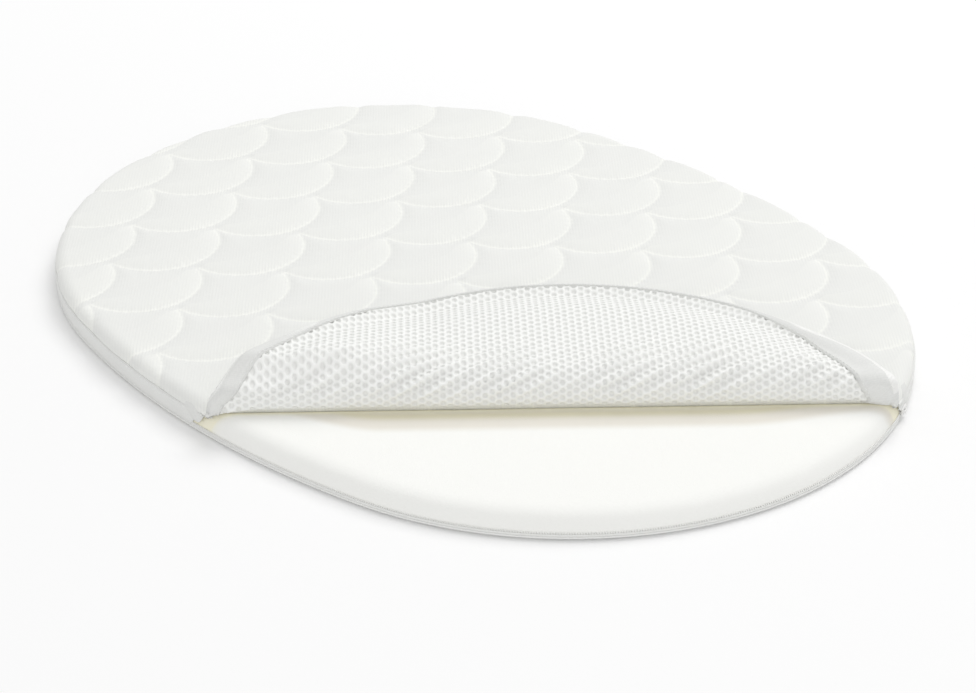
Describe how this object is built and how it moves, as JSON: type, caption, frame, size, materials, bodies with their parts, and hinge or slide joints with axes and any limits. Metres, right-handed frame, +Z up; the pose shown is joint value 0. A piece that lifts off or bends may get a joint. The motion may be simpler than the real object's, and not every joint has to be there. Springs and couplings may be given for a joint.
{
  "type": "crib mattress",
  "caption": "Oval crib mattress: flat foam core in a quilted zip-off cover, with the front corner of the cover folded back to show its net lining and the foam.",
  "frame": {"origin": "centre of the oval at the floor", "axes": "+X along the length towards the end whose corner is opened, +Z up out of the quilted top"},
  "size_m": [0.76, 0.5759, 0.0548],
  "materials": {
    "foam": "fine open-cell foam, matte",
    "quilt_knit": "soft ribbed knit, quilted",
    "net": "open knitted net with six-sided gaps",
    "band_cloth": "plain fine weave",
    "base_cloth": "plain weave",
    "zip_tape": "woven tape",
    "zip_coil": "moulded coil, satin",
    "slider_paint": "white enamel, satin"
  },
  "bodies": {
    "mattress": {"foam_core": "foam", "base_sheet": "base_cloth", "lower_zip_tape": "zip_tape", "lower_zip_coil": "zip_coil", "left_zip_tape": "zip_tape", "right_zip_tape": "zip_tape", "left_zip_coil": "zip_coil", "right_zip_coil": "zip_coil", "left_zip_stop": "zip_coil", "right_zip_stop": "zip_coil", "side_band": "band_cloth", "mesh_lining": "net", "quilt_top": "quilt_knit"},
    "cover_fold": {"mesh_fold": "net", "quilt_fold": "quilt_knit"},
    "cover_flap": {"mesh_flap": "net", "quilt_flap": "quilt_knit"},
    "flap_band": {"flap_side_band": "band_cloth", "flap_zip_tape": "zip_tape", "flap_zip_coil": "zip_coil"},
    "slider": {"zip_slider": "slider_paint"}
  },
  "joints": [
    {"name": "cover_open", "type": "hinge", "parent": "mattress", "child": "cover_fold", "pos_m": [0.1547, -0.13614, 0.024], "axis": [0.6607, 0.7507, 0], "range_deg": [0, 90]},
    {"name": "flap_turn", "type": "hinge", "parent": "cover_fold", "child": "cover_flap", "pos_m": [0.1547, -0.13614, 0.037], "axis": [0.6607, 0.7507, 0], "range_deg": [0, 85.6]},
    {"name": "band_turn", "type": "slide", "parent": "cover_flap", "child": "flap_band", "axis": [0.0576, -0.0507, 0.9971], "range_m": [0, 0.0087]},
    {"name": "slider_run", "type": "hinge", "parent": "mattress", "child": "slider", "pos_m": [0.104, 0, 0.0072], "axis": [0, 0, -1], "range_deg": [-8.5, 99.5]}
  ],
  "couplings": [
    {"joint": "flap_turn", "follows": "cover_open", "ratio": 0.95111},
    {"joint": "band_turn", "follows": "cover_open", "m_per_rad": 0.0055385}
  ]
}
